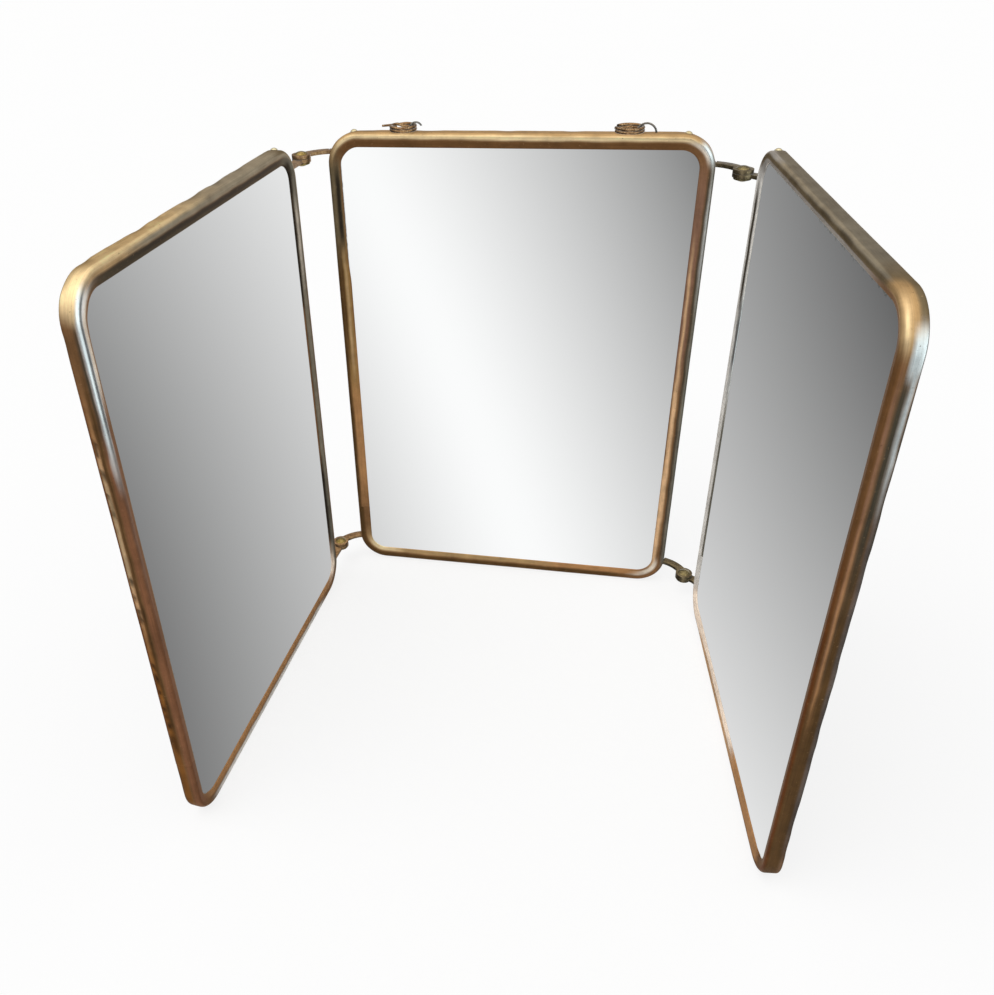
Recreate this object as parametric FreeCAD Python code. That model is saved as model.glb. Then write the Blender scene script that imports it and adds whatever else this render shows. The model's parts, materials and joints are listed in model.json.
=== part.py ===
import FreeCAD, Part
import math
import os

# Trifold vanity mirror: a centre panel and two wings, each a sheet of mirror glass in a rolled
# brass channel, joined by riveted flat straps. Millimetres; X to the right, Y to the back, Z up.
# The origin is on the lower face of the centre frame, at mid-width and mid-depth.
# Every panel is drawn in one upright panel frame of its own and the wings are then folded forward.

V = FreeCAD.Vector
ACROSS = V(1, 0, 0)
BACKWARD = V(0, 1, 0)
UP = V(0, 0, 1)
ENDS = ("top", "bottom")

# ---------------------------------------------------------------- driving dimensions
# Panel outline, all three alike
panel_width = 180.0
panel_height = 250.0
corner_radius = 15.5

# Rolled channel of the frame
sheet = 0.6
lip_width = 7.0
lip_angle = 11.0
shoulder_radius = 2.0
back_edge_radius = 1.0
back_flange = 5.0
seam_width = 0.2
seam_height = 36.0

# What the channel holds, front to back
lip_gap = 0.18
glass_thickness = 2.0
packing_thickness = 2.2
back_plate_thickness = 0.5
flange_gap = 0.2
contents_gap = 0.5

# Hinge straps, eyes and rivets
strap_width = 4.4
strap_thickness = 1.6
strap_seat_gap = 0.05
slot_gap = 0.1
left_upper_inset = 10.5
right_upper_inset = 14.3
lower_inset = 12.0
arm_bend = 0.6
eye_diameter = 9.0
eye_gap = 0.25
rivet_diameter = 3.0
running_clearance = 0.05
fixed_clearance = 0.01
upper_head_diameter = 6.6
upper_head_height = 1.3
lower_head_diameter = 6.0
lower_head_height = 1.1
washer_diameter = 7.8
washer_thickness = 0.8

# Hinge axes: sideways reach from the centre frame's side wall, forward place, and the distance
# from the axis to the edge of the wing's frame
left_reach = 11.0
left_forward = 9.0
left_wing_offset = 15.8
right_reach = 11.0
right_forward = 10.0
right_wing_offset = 7.8

# Folded stack: centre panel, left wing, right wing
first_fold_gap = 1.8
second_fold_gap = 1.2

# Rest pose: how far each wing is folded forward from flat, in degrees
left_fold = 86.1
right_fold = 83.9

# Rivets that hold the straps' inner legs, placed by their turn round the frame's corner
frame_rivet_diameter = 2.0
frame_head_diameter = 3.4
frame_head_height = 0.9
frame_tail_diameter = 3.0
frame_tail_height = 0.25
upper_rivet_turn = 81.0
lower_rivet_turn = 58.0
leg_overrun = 8.0

# Hanging rings and the wire staples that hold them
staple_wire = 0.9
staple_rise = 3.9
staple_foot_length = 1.8
ring_wire = 1.4
ring_turn_pitch = 1.3
ring_seat_gap = 0.2
left_staple_x = -47.0
left_staple_span = 6.6
left_staple_twist = 32.0
left_ring_diameter = 13.0
right_staple_x = 58.4
right_staple_span = 8.8
right_ring_diameter = 13.6
right_ring_shift = -1.3
ring_tail_length = 11.5
ring_tail_tip = 0.6
ring_tail_drop = 0.9

# ---------------------------------------------------------------- sizes that follow from them
half_width = panel_width / 2
lip_sine = math.sin(math.radians(lip_angle))
lip_cosine = math.cos(math.radians(lip_angle))
lip_rise = (lip_width - shoulder_radius * (1 + lip_sine)) * lip_sine / lip_cosine
glass_setback = shoulder_radius * (1 - lip_cosine) + lip_rise + sheet * lip_cosine + lip_gap
frame_depth = (glass_setback + glass_thickness + packing_thickness + back_plate_thickness
               + flange_gap + sheet)
front_y = -frame_depth / 2
back_y = frame_depth / 2
glass_y = front_y + glass_setback
wall_y = (shoulder_radius - back_edge_radius) / 2
contents_inset = sheet + strap_seat_gap + strap_thickness + contents_gap
leg_radius = corner_radius - sheet - strap_seat_gap - strap_thickness / 2
rivet_turns = {"top": upper_rivet_turn, "bottom": lower_rivet_turn}

left_axis = V(-half_width - left_reach, -left_forward, 0)
right_axis = V(half_width + right_reach, -right_forward, 0)
# Each hinge axis as the wing's own panel frame sees it. Folded shut, the left wing lies just in
# front of the centre panel and the right wing in front of the left one.
left_axis_in_wing = V(half_width + left_wing_offset, left_forward - frame_depth - first_fold_gap, 0)
right_axis_in_wing = V(-half_width - right_wing_offset,
                       right_forward - 2 * frame_depth - first_fold_gap - second_fold_gap, 0)


# ---------------------------------------------------------------- shared geometry
def curve(start, middle, end):
    """An arc through three points, or a straight edge where they lie in line."""
    bend = (middle - start).cross(end - middle).Length
    if bend < 1e-4:
        return Part.LineSegment(start, end).toShape()
    return Part.Arc(start, middle, end).toShape()


def on_circle(centre_u, centre_v, radius, degrees):
    """A point on a circle in a flat (u, v) drawing."""
    turn = math.radians(degrees)
    return centre_u + radius * math.cos(turn), centre_v + radius * math.sin(turn)


def turned(shape, point, direction, degrees):
    """A copy of a shape turned about an axis."""
    copy = shape.copy()
    copy.rotate(point, direction, degrees)
    return copy


def moved(shape, offset):
    """A copy of a shape moved by a vector."""
    copy = shape.copy()
    copy.translate(offset)
    return copy


def one_solid(pieces):
    """Pieces that share faces or overlap, joined into one clean solid."""
    return pieces[0].fuse(pieces[1:]).removeSplitter().Solids[0]


def dome(diameter, height):
    """A domed rivet head on the plane z = 0, rounded side up."""
    radius = diameter / 2
    ball = (radius ** 2 + height ** 2) / (2 * height)
    half_turn = math.asin(radius / ball) / 2
    shoulder = V(ball * math.sin(half_turn), 0, height - ball + ball * math.cos(half_turn))
    edges = [Part.LineSegment(V(0, 0, 0), V(radius, 0, 0)).toShape(),
             Part.Arc(V(radius, 0, 0), shoulder, V(0, 0, height)).toShape(),
             Part.LineSegment(V(0, 0, height), V(0, 0, 0)).toShape()]
    return Part.Face(Part.Wire(edges)).revolve(V(0, 0, 0), UP, 360)


def corner_centre(hand, end):
    """Centre of a frame corner: hand is -1 left or 1 right, end is 'top' or 'bottom'."""
    height = panel_height - corner_radius if end == "top" else corner_radius
    return V(hand * (half_width - corner_radius), 0, height)


# ---------------------------------------------------------------- frame
def channel_section():
    """The channel's section as a face in the XY plane, its corner's centre at the origin.

    The outer wall faces -X. From the lip's edge at the glass the outline runs up the sloping lip,
    round the shoulder, back along the outer wall and in along the rear flange.
    """
    shoulder_y = front_y + shoulder_radius
    back_edge_y = back_y - back_edge_radius
    half_turn = (90 + lip_angle) / 2

    def point(inward, y):
        return V(inward - corner_radius, y, 0)

    def shoulder(radius, degrees):
        inward, y = on_circle(shoulder_radius, shoulder_y, radius, degrees)
        return point(inward, y)

    def back_edge(radius, degrees):
        inward, y = on_circle(back_edge_radius, back_edge_y, radius, degrees)
        return point(inward, y)

    inner_shoulder = shoulder_radius - sheet
    inner_back_edge = back_edge_radius - sheet
    lip_start = -90 + lip_angle
    lip_tip = point(lip_width, shoulder_y - shoulder_radius * lip_cosine + lip_rise)
    lip_underside = lip_tip + V(-lip_sine, lip_cosine, 0) * sheet
    edges = [
        Part.LineSegment(lip_tip, shoulder(shoulder_radius, lip_start)).toShape(),
        curve(shoulder(shoulder_radius, lip_start),
              shoulder(shoulder_radius, lip_start - half_turn), shoulder(shoulder_radius, 180)),
        Part.LineSegment(shoulder(shoulder_radius, 180),
                         back_edge(back_edge_radius, 180)).toShape(),
        curve(back_edge(back_edge_radius, 180), back_edge(back_edge_radius, 135),
              back_edge(back_edge_radius, 90)),
        Part.LineSegment(back_edge(back_edge_radius, 90), point(back_flange, back_y)).toShape(),
        Part.LineSegment(point(back_flange, back_y), point(back_flange, back_y - sheet)).toShape(),
        Part.LineSegment(point(back_flange, back_y - sheet),
                         back_edge(inner_back_edge, 90)).toShape(),
        curve(back_edge(inner_back_edge, 90), back_edge(inner_back_edge, 135),
              back_edge(inner_back_edge, 180)),
        Part.LineSegment(back_edge(inner_back_edge, 180), shoulder(inner_shoulder, 180)).toShape(),
        curve(shoulder(inner_shoulder, 180), shoulder(inner_shoulder, lip_start - half_turn),
              shoulder(inner_shoulder, lip_start)),
        Part.LineSegment(shoulder(inner_shoulder, lip_start), lip_underside).toShape(),
        Part.LineSegment(lip_underside, lip_tip).toShape(),
    ]
    return Part.Face(Part.Wire(edges))


def bare_frame():
    """One length of channel bent round four corners, its ends butted on the left side."""
    section = channel_section()
    corner = section.revolve(V(0, 0, 0), BACKWARD, 90)
    straights = (panel_height - 2 * corner_radius, panel_width - 2 * corner_radius)
    order = [(-1, "bottom"), (-1, "top"), (1, "top"), (1, "bottom")]
    pieces = []
    for index, (hand, end) in enumerate(order):
        side = section.extrude(UP * straights[index % 2])
        pieces.append(moved(turned(side, V(0, 0, 0), BACKWARD, 90 * index),
                            corner_centre(hand, end)))
        pieces.append(moved(turned(corner, V(0, 0, 0), BACKWARD, 90 * (index - 1)),
                            corner_centre(hand, end)))
    seam = Part.makeBox(2 * lip_width, 2 * frame_depth, seam_width,
                        V(-half_width - lip_width / 2, -frame_depth, seam_height))
    return one_solid(pieces).cut(seam).Solids[0]


# ---------------------------------------------------------------- glass, packing and back
def filling_plate(y, thickness):
    """A plate with rounded corners that fits inside the channel, its front at y."""
    radius = corner_radius - contents_inset
    box = Part.makeBox(panel_width - 2 * contents_inset, thickness,
                       panel_height - 2 * contents_inset,
                       V(contents_inset - half_width, y, contents_inset))
    corners = [edge for edge in box.Edges
               if abs(edge.Vertexes[0].Y - edge.Vertexes[1].Y) > thickness / 2]
    return box.makeFillet(radius, corners)


# ---------------------------------------------------------------- hinge straps
def hinge_middle(side, end):
    """Height of the plane between the two eyes of one hinge."""
    if end == "bottom":
        return lower_inset
    return panel_height - (left_upper_inset if side == "left" else right_upper_inset)


def strap_level(side, end, owner):
    """Height of the underside of a strap: the centre's eye lies on top of the wing's eye."""
    if owner == "centre":
        return hinge_middle(side, end) + eye_gap / 2
    return hinge_middle(side, end) - eye_gap / 2 - strap_thickness


def strap_rise(side, end, owner):
    """How far a strap's middle line lies from its corner's centre, towards the panel's end."""
    rise = strap_level(side, end, owner) + strap_thickness / 2 - corner_centre(1, end).z
    return rise if end == "top" else -rise


def strap_root(side, end, owner):
    """Where a strap's middle line meets the middle of its inner leg, as a distance from x = 0."""
    rise = strap_rise(side, end, owner)
    return half_width - corner_radius + math.sqrt(leg_radius ** 2 - rise ** 2)


def corner_band(inner, outer, first_turn, last_turn):
    """A band round the right-hand top corner between two turns, measured from the horizontal."""
    edges = []
    for radius, near, far in ((outer, first_turn, last_turn), (inner, last_turn, first_turn)):
        points = []
        for degrees in (near, (near + far) / 2, far):
            x, z = on_circle(0, 0, radius, degrees)
            points.append(V(x, wall_y - strap_width / 2, z))
        edges.append(Part.Arc(*points).toShape())
    joins = [Part.LineSegment(edges[0].Vertexes[1].Point, edges[1].Vertexes[0].Point).toShape(),
             Part.LineSegment(edges[1].Vertexes[1].Point, edges[0].Vertexes[0].Point).toShape()]
    outline = Part.Wire([edges[0], joins[0], edges[1], joins[1]])
    return Part.Face(outline).extrude(BACKWARD * strap_width)


def frame_rivet(hand, end):
    """Small rivet through the frame's wall and the strap's inner leg, square to the wall."""
    tail_base = leg_radius - strap_thickness / 2 - frame_tail_height
    head = moved(dome(frame_head_diameter, frame_head_height), V(0, wall_y, corner_radius))
    shank = Part.makeCylinder(frame_rivet_diameter / 2, corner_radius - tail_base,
                              V(0, wall_y, tail_base))
    tail = Part.makeCylinder(frame_tail_diameter / 2, frame_tail_height, V(0, wall_y, tail_base))
    rivet = one_solid([head, shank, tail])
    return at_corner(turned(rivet, V(0, 0, 0), BACKWARD, 90 - rivet_turns[end]), hand, end)


def at_corner(shape, hand, end):
    """Take a piece drawn for the right-hand top corner about the origin to any corner."""
    placed = shape
    if end == "bottom":
        placed = placed.mirror(V(0, 0, 0), UP)
    if hand < 0:
        placed = placed.mirror(V(0, 0, 0), ACROSS)
    return moved(placed, corner_centre(hand, end))


def strap_arm(level, finish):
    """Flat curved arm from the frame's right-hand wall to the middle of the eye.

    It leaves the wall closer to square than its chord and arrives as much beyond it.
    """
    start = V(half_width, wall_y, level)
    chord = finish - start
    chord_turn = math.atan2(chord.y, chord.x)
    across = V(-math.sin(chord_turn), math.cos(chord_turn), 0)
    bow = math.tan(arm_bend / 2 * chord_turn) * chord.Length / 2
    sides = []
    for offset in (-strap_width / 2, strap_width / 2):
        points = []
        for share in (0.0, 0.5, 1.0):
            heading = chord_turn * (1 + arm_bend * (2 * share - 1))
            normal = V(-math.sin(heading), math.cos(heading), 0)
            middle_line = start + chord * share - across * bow * (1 - abs(2 * share - 1))
            points.append(middle_line + normal * offset)
        sides.append(curve(*points))
    ends = [Part.LineSegment(sides[0].Vertexes[0].Point, sides[1].Vertexes[0].Point).toShape(),
            Part.LineSegment(sides[0].Vertexes[1].Point, sides[1].Vertexes[1].Point).toShape()]
    outline = Part.Wire(Part.__sortEdges__([sides[0], ends[0], sides[1], ends[1]]))
    return Part.Face(outline).extrude(UP * strap_thickness)


def hinge_strap(side, end, owner, axis, bore):
    """Inner leg round the corner, arm out through the slot, and the round eye on the axis."""
    hand = 1 if axis.x > 0 else -1
    level = strap_level(side, end, owner)
    root = strap_root(side, end, owner)
    inner_edge = strap_rise(side, end, owner) - strap_thickness / 2
    leg = corner_band(leg_radius - strap_thickness / 2, leg_radius + strap_thickness / 2,
                      math.degrees(math.asin(inner_edge / leg_radius)),
                      rivet_turns[end] + leg_overrun)
    shank = Part.makeBox(half_width - root, strap_width, strap_thickness,
                         V(root, wall_y - strap_width / 2, level))
    eye_middle = V(abs(axis.x), axis.y, level)
    eye = Part.makeCylinder(eye_diameter / 2, strap_thickness, eye_middle)
    outer = shank.fuse([strap_arm(level, eye_middle), eye])
    if hand < 0:
        outer = outer.mirror(V(0, 0, 0), ACROSS)
    hole = Part.makeCylinder(bore / 2, 3 * strap_thickness,
                             V(axis.x, axis.y, level - strap_thickness))
    strap = one_solid([at_corner(leg, hand, end), outer])
    return strap.cut([hole, frame_rivet(hand, end)]).Solids[0]


def strap_slot(side, end, owner, hand):
    """The slot that a strap passes through in the frame's side wall."""
    slot = Part.makeBox(corner_radius, strap_width + 2 * slot_gap, strap_thickness + 2 * slot_gap,
                        V(strap_root(side, end, owner), wall_y - strap_width / 2 - slot_gap,
                          strap_level(side, end, owner) - slot_gap))
    return slot if hand > 0 else slot.mirror(V(0, 0, 0), ACROSS)


def hinge_rivet(side, end, axis):
    """Pivot with two set heads, through both eyes and the washer."""
    top = strap_level(side, end, "centre") + strap_thickness
    bottom = strap_level(side, end, "wing") - eye_gap - washer_thickness
    upper_head = moved(dome(upper_head_diameter, upper_head_height), V(axis.x, axis.y, top))
    lower_head = dome(lower_head_diameter, lower_head_height).mirror(V(0, 0, 0), UP)
    lower_head = moved(lower_head, V(axis.x, axis.y, bottom))
    shank = Part.makeCylinder(rivet_diameter / 2, top - bottom, V(axis.x, axis.y, bottom))
    return one_solid([upper_head, shank, lower_head])


def hinge_washer(side, end, axis):
    """Washer between the wing's eye and the rivet's lower head."""
    bottom = strap_level(side, end, "wing") - eye_gap - washer_thickness
    base = V(axis.x, axis.y, bottom)
    disc = Part.makeCylinder(washer_diameter / 2, washer_thickness, base)
    hole = Part.makeCylinder(rivet_diameter / 2 + fixed_clearance, washer_thickness, base)
    return disc.cut(hole)


# ---------------------------------------------------------------- hanging rings
def ring_staple(x, span, twist):
    """Wire arch on the frame's top wall, its feet through the wall and turned in beneath it."""
    arch_radius = (span ** 2 / 4 + staple_rise ** 2) / (2 * staple_rise)
    centre = V(0, 0, panel_height + staple_rise - arch_radius)
    spread = math.degrees(math.asin(span / 2 / arch_radius))
    foot_z = panel_height - sheet - strap_seat_gap - staple_wire / 2
    start = V(-span / 2, 0, panel_height)
    tangent = V(math.cos(math.radians(spread)), 0, math.sin(math.radians(spread)))
    wire_end = Part.Face(Part.Wire(Part.makeCircle(staple_wire / 2, start, tangent)))
    pieces = [wire_end.revolve(centre, BACKWARD, 2 * spread)]
    for hand in (-1, 1):
        knee = V(hand * span / 2, 0, panel_height)
        foot = V(knee.x, 0, foot_z)
        pieces.append(Part.makeSphere(staple_wire / 2, knee))
        pieces.append(Part.makeCylinder(staple_wire / 2, panel_height - foot_z, foot))
        pieces.append(Part.makeSphere(staple_wire / 2, foot))
        pieces.append(Part.makeCylinder(staple_wire / 2, staple_foot_length, foot,
                                        ACROSS * -hand))
    return moved(turned(one_solid(pieces), V(0, 0, 0), UP, twist), V(x, wall_y, 0))


def hanging_ring(hold_x, diameter, tail):
    """Split ring of two close turns lying to the left of the point where the staple holds it."""
    radius = (diameter - ring_wire) / 2
    centre = V(hold_x - radius, wall_y, panel_height + ring_seat_gap + ring_wire / 2)
    turns = [Part.makeTorus(radius, ring_wire / 2, centre + UP * ring_turn_pitch * index)
             for index in (0, 1)]
    if not tail:
        return one_solid(turns)
    root = centre + V(0, radius, ring_turn_pitch)
    run = V(-ring_tail_length, 0, -ring_tail_drop)
    loose_end = Part.makeCone(ring_wire / 2, ring_tail_tip / 2, run.Length, root, run)
    return one_solid(turns + [loose_end])


# ---------------------------------------------------------------- putting it together
def panel(name, hinges, owner):
    """One panel's frame, glass, packing, back plate and frame rivets, in its panel frame.

    Each of its hinges is named by its side of the mirror and the hand of the panel it is on.
    """
    rivets = []
    slots = []
    for side, hand in hinges:
        for end in ENDS:
            rivets.append(frame_rivet(hand, end))
            slots.append(strap_slot(side, end, owner, hand))
    packing_y = glass_y + glass_thickness
    back_plate_y = packing_y + packing_thickness
    return {
        name + "_frame": [bare_frame().cut(slots + rivets)],
        name + "_mirror_glass": [filling_plate(glass_y, glass_thickness)],
        name + "_packing_sheet": [filling_plate(packing_y, packing_thickness)],
        name + "_back_plate": [filling_plate(back_plate_y, back_plate_thickness)],
        name + "_frame_rivets": rivets,
    }


def centre_body():
    """The centre panel with its straps, pivots and staples."""
    nodes = panel("centre", (("left", -1), ("right", 1)), "centre")
    bore = rivet_diameter + 2 * fixed_clearance
    for side, axis in (("left", left_axis), ("right", right_axis)):
        for end in ENDS:
            place = "_%s_%s" % (end, side)
            nodes["centre_strap" + place] = [hinge_strap(side, end, "centre", axis, bore)]
            nodes["hinge_rivet" + place] = [hinge_rivet(side, end, axis)]
            nodes["hinge_washer" + place] = [hinge_washer(side, end, axis)]
    staples = {
        "left_ring_staple": ring_staple(left_staple_x, left_staple_span, left_staple_twist),
        "right_ring_staple": ring_staple(right_staple_x, right_staple_span, 0),
    }
    for name, staple in staples.items():
        nodes[name] = [staple]
        nodes["centre_frame"] = [nodes["centre_frame"][0].cut(staple)]
    return nodes


def wing_body(name, hand, axis_in_wing, axis, fold):
    """A wing drawn flat, then folded forward about its hinge axis into the rest pose."""
    nodes = panel(name, ((name, -hand),), "wing")
    bore = rivet_diameter + 2 * running_clearance
    for end in ENDS:
        nodes["%s_wing_strap_%s" % (name, end)] = [
            hinge_strap(name, end, "wing", axis_in_wing, bore)]
    placed = {}
    for node, shapes in nodes.items():
        placed[node] = [turned(moved(shape, axis - axis_in_wing), axis, UP, -hand * fold)
                        for shape in shapes]
    return placed


model = centre_body()
model.update(wing_body("left", -1, left_axis_in_wing, left_axis, left_fold))
model.update(wing_body("right", 1, right_axis_in_wing, right_axis, right_fold))
model["left_hanging_ring"] = [hanging_ring(left_staple_x, left_ring_diameter, True)]
model["right_hanging_ring"] = [
    hanging_ring(right_staple_x + right_ring_shift, right_ring_diameter, False)]

os.makedirs("parts", exist_ok=True)
for node, shapes in model.items():
    shape = shapes[0] if len(shapes) == 1 else Part.makeCompound(shapes)
    shape.exportStep("parts/%s.step" % node)
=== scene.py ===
import bmesh
import bpy
import json
import math
from mathutils import Matrix, Vector, noise

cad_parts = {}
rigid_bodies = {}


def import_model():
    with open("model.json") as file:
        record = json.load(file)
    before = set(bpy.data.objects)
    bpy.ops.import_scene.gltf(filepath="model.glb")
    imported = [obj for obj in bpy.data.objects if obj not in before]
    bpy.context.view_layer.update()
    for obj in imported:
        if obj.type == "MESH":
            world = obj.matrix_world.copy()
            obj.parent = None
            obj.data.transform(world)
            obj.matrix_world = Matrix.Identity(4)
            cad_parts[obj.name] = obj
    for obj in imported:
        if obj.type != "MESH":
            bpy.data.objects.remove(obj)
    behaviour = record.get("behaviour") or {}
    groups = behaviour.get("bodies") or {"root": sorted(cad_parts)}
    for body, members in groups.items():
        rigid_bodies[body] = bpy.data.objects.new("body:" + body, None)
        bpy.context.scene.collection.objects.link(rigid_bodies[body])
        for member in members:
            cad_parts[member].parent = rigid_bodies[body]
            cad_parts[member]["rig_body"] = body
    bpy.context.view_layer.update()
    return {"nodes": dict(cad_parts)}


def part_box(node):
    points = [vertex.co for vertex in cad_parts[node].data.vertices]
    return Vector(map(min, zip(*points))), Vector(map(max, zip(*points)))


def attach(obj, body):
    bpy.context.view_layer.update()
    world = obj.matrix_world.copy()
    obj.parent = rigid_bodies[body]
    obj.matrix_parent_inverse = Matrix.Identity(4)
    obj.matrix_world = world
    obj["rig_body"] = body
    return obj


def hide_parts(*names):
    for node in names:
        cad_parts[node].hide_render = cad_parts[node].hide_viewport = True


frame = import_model()

# ---------------------------------------------------------------- Frames
# Each panel is held by one length of rolled brass channel, bent round four corners with its
# ends butted in a seam low on the left side. It was nickel plated; years of handling have
# left bright plate in some places, rubbed brass in others and brown patina on the rest. Its
# colours also carry painted highlights, painted reflections and painted shade.

# The channel's outline and section; angles are in degrees, here and below
mm = 0.001
frame_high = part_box("centre_frame")[1]
half_width = frame_high.x
half_depth = frame_high.y
panel_height = frame_high.z
corner_radius = 15.5 * mm
sheet = 0.6 * mm
lip_width = 7.0 * mm
lip_angle = 11
shoulder_radius = 2.0 * mm
back_edge_radius = 1.0 * mm
back_flange = 5.0 * mm
seam_height = 36.0 * mm
seam_width = 0.2 * mm

# The body that carries each panel, and how far the panel is folded at rest
bodies = {"centre": "centre", "left": "left_wing", "right": "right_wing"}
folds = {"centre": 0.0, "left": 86.1, "right": -83.9}

# How finely the channel is drawn: the step along its straight runs, then the number of steps
# round each corner, and on the lip, shoulder, wall, back edge, flange and cut edges of the sheet,
# and from what angle a fold is left sharp
station_step = 1.2 * mm
corner_steps = 16
lip_steps = 8
shoulder_steps = 14
wall_steps = 6
back_edge_steps = 6
flange_steps = 4
cut_edge_steps = 4
crease_angle = 50

# How far the skin is from true: slow waves everywhere, then knocks on each panel, given as start
# and end along the channel from the seam, the place round the skin and its spread, the length
# of one knock and its depth, in millimetres, and how dark it is painted, from 0 to 1, as dirt
# and as painted shade in the dent. The knocks cover their stretch in patches, and the deeper
# half of each is painted dark, dirt and shade together.
wave_length = 30.0 * mm
wave_depth = 0.16 * mm
least_knock = 0.15
patchiness = 1.6
soiling_rise = 2
knocks = {
    "centre": ((-20, 395, 12.5, 2.2, 11.0, 0.3, 0.25), (620, 860, 12.5, 2.2, 11.0, 0.3, 0.25)),
    "left": ((20, 168, 11.2, 0.7, 3.6, 0.4, 0.75), (10, 96, 10.6, 1.6, 9.0, 0.3, 0.6),
             (196, 400, 12.5, 2.2, 11.0, 0.42, 0.3), (400, 860, 12.5, 2.2, 11.0, 0.3, 0.25)),
    "right": ((440, 640, 12.5, 2.0, 12.0, 0.3, 0.25), (224, 350, 5.4, 1.2, 18.0, 0.35, 0.4)),
}

# How much narrower the lip was left on each panel, and along which stretches, in millimetres,
# and over what length it narrows
lip_trims = {"centre": (0.8, ((146, 204),)), "left": (2.0, ((-20, 200), (804, 860))),
             "right": (2.2, ((216, 626),))}
trim_fade = 16

# The tones that show: colour, how much bare metal shows through the film, and roughness.
# First the brown films, then grey dulled plate, rubbed brass, and last the plate that holds.
# The near-black tone is painted shade, and the pale tones also serve as painted highlights.
tones = {
    "patina": ("#86613F", 0.45, 0.42), "plum": ("#8A6753", 0.45, 0.42),
    "russet": ("#865A3E", 0.45, 0.44), "rust": ("#8C5A26", 0.4, 0.48),
    "burnt": ("#6A3A12", 0.35, 0.46), "umber": ("#5C4224", 0.45, 0.46),
    "walnut": ("#73502F", 0.45, 0.44), "drab": ("#76684F", 0.55, 0.42),
    "lip_edge_shade": ("#2C2820", 0.5, 0.4), "slate": ("#4C463A", 0.6, 0.38),
    "mauve": ("#6E645E", 0.6, 0.36), "pewter": ("#7E7A6E", 0.6, 0.38),
    "olive": ("#A89E8A", 0.65, 0.38), "steel": ("#B2B0AC", 0.6, 0.36),
    "golden": ("#A98350", 0.6, 0.38), "amber": ("#BA895A", 0.3, 0.38),
    "brass": ("#BC9A6C", 0.55, 0.38), "straw": ("#CBAA7C", 0.5, 0.36),
    "copper": ("#F2C698", 0.6, 0.34), "gold": ("#FFE4B4", 0.95, 0.3),
    "cream": ("#E8DCCB", 0.4, 0.36), "chalk": ("#E8E4DE", 0.2, 0.36),
    "blush": ("#FFEAD6", 0.12, 0.36), "nickel": ("#F2F8F8", 1.0, 0.24),
}
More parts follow.
